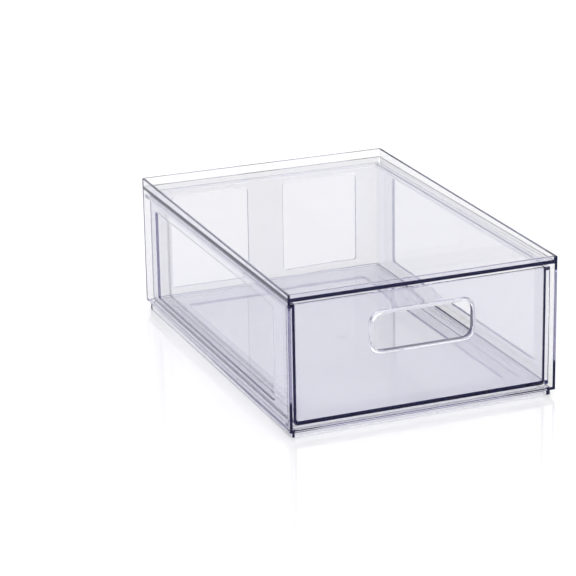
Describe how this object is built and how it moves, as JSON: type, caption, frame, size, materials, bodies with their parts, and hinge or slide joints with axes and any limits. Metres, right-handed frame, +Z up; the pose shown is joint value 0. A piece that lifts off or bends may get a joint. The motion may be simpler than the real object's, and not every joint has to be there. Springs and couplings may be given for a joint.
{
  "type": "stackable drawer box",
  "caption": "Clear stackable storage box: an open-fronted casing with window cut-outs and one slide-out drawer with a finger slot.",
  "frame": {"origin": "centre of the footprint, on the surface the foot ring stands on", "axes": "+X is the box's right side seen from the front, -Y is the open front that the drawer slides out of, +Z is up"},
  "size_m": [0.264, 0.392, 0.1392],
  "materials": {
    "casing_plastic": "clear polished plastic, faintly lavender, going navy at the cut edges",
    "drawer_plastic": "clear polished plastic, faintly lavender, going navy at the cut edges"
  },
  "bodies": {
    "casing": {"casing": "casing_plastic"},
    "drawer": {"drawer": "drawer_plastic"}
  },
  "joints": [
    {"name": "drawer_slide", "type": "slide", "parent": "casing", "child": "drawer", "axis": [0, -1, 0], "range_m": [0, 0.3]}
  ]
}
